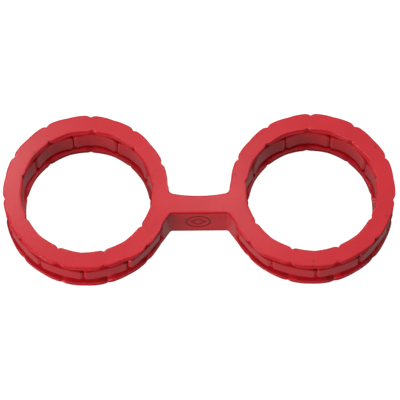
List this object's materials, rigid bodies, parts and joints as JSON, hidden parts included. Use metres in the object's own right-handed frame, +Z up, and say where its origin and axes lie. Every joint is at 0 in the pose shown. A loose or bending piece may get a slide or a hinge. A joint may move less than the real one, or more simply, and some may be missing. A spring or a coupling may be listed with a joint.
{
  "type": "double ring tug grip",
  "caption": "Rubber double ring lying flat: ribbed brick-pattern rings joined by a short, off-centre flexible bridge, for two hands to pull, toss or swing.",
  "frame": {"origin": "on the resting face, midway between the two rings' centres", "axes": "+X from the left ring to the right ring, +Y away from the bridge's flat face, +Z up out of the resting face"},
  "size_m": [0.2856, 0.1207, 0.0356],
  "materials": {
    "red_rubber": "satin moulded natural rubber"
  },
  "bodies": {
    "left_ring": {"left_top_course": "red_rubber", "left_middle_course": "red_rubber", "left_bottom_course": "red_rubber", "bridge_left_root": "red_rubber"},
    "bridge": {"bridge_waist": "red_rubber"},
    "right_ring": {"right_top_course": "red_rubber", "right_middle_course": "red_rubber", "right_bottom_course": "red_rubber", "bridge_right_root": "red_rubber"}
  },
  "joints": [
    {"name": "bridge_bend", "type": "hinge", "parent": "left_ring", "child": "bridge", "pos_m": [-0.01, -0.0109, 0.0178], "axis": [0, 0, 1], "range_deg": [-40, 40], "stiffness_Nm_per_rad": 0.55},
    {"name": "bridge_twist", "type": "hinge", "parent": "bridge", "child": "right_ring", "pos_m": [0.01, -0.0109, 0.0178], "axis": [1, 0, 0], "range_deg": [-45, 45], "stiffness_Nm_per_rad": 0.5}
  ]
}
